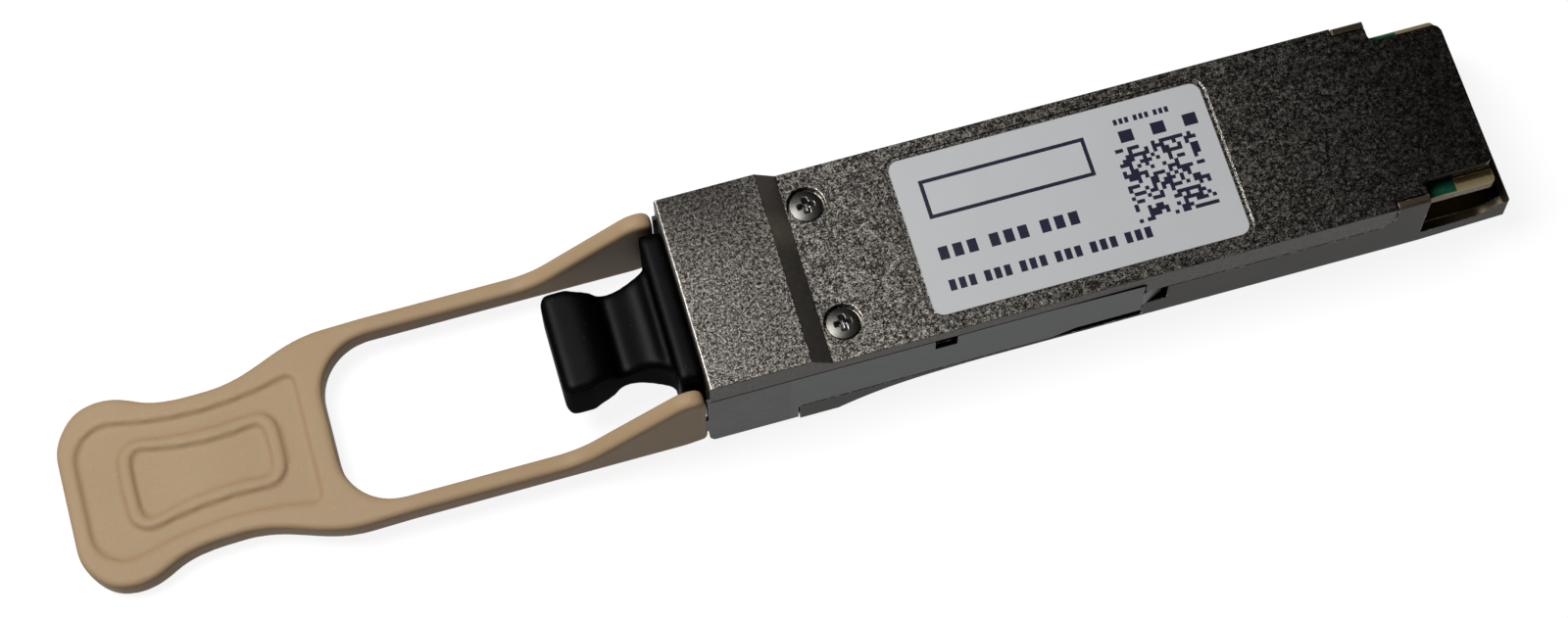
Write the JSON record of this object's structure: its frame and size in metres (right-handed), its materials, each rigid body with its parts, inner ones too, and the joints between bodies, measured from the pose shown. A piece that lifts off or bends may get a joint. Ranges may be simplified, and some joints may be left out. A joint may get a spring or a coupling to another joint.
{
  "type": "optical transceiver module",
  "caption": "Pluggable optical transceiver with a multi-fibre port, a card-edge connector, a sprung latch slide with a pull tab, and a dust plug.",
  "frame": {"origin": "centre of the optical port's mouth, on the nose's front face", "axes": "+X along the module to the electrical end, +Z to the label side, +Y to the left seen from the port"},
  "size_m": [0.1297, 0.019, 0.013],
  "materials": {
    "nickel_plate": "blasted zinc casting, nickel plated",
    "spring_steel": "smooth",
    "dark_screw": "polished",
    "label_paper": "matte film",
    "beige_plastic": "matte",
    "black_rubber": "semi-gloss",
    "black_plastic": "matte",
    "gasket": "conductive silicone",
    "ferrule_resin": "glass-filled resin",
    "fibre": "coated ribbon",
    "lens_resin": "clear amber resin",
    "bare_die": "polished die",
    "chip_package": "moulded",
    "capacitor_ceramic": "ceramic with tinned ends",
    "thermal_pad": "soft gap pad",
    "board": "green solder mask",
    "gold": "gold plated"
  },
  "bodies": {
    "housing": {"top_shell": "nickel_plate", "base_shell": "nickel_plate", "housing_screws": "dark_screw", "label": "label_paper", "return_spring_left": "spring_steel", "return_spring_right": "spring_steel", "port_receptacle": "black_plastic", "port_gasket": "gasket", "ferrule": "ferrule_resin", "guide_pins": "spring_steel", "pin_clip": "spring_steel", "ferrule_boot": "black_rubber", "fibre_ribbon": "fibre", "lens_block": "lens_resin", "laser_array": "bare_die", "photodiode_array": "bare_die", "laser_driver": "bare_die", "receiver_amplifier": "bare_die", "retimer": "chip_package", "microcontroller": "chip_package", "inductors": "chip_package", "capacitors": "capacitor_ceramic", "thermal_pads": "thermal_pad", "circuit_board": "board", "contact_pads_top": "gold", "contact_pads_bottom": "gold"},
    "latch": {"latch_slide": "spring_steel", "pull_tab": "beige_plastic"},
    "plug": {"dust_plug": "black_rubber"}
  },
  "joints": [
    {"name": "latch_pull", "type": "slide", "parent": "housing", "child": "latch", "axis": [-1, 0, 0], "range_m": [0, 0.0025], "stiffness_N_per_m": 400, "springref_m": -0.002, "deforming": ["return_spring_left", "return_spring_right"]},
    {"name": "dust_plug_pull", "type": "slide", "parent": "housing", "child": "plug", "axis": [-1, 0, 0], "range_m": [0, 0.009]}
  ]
}
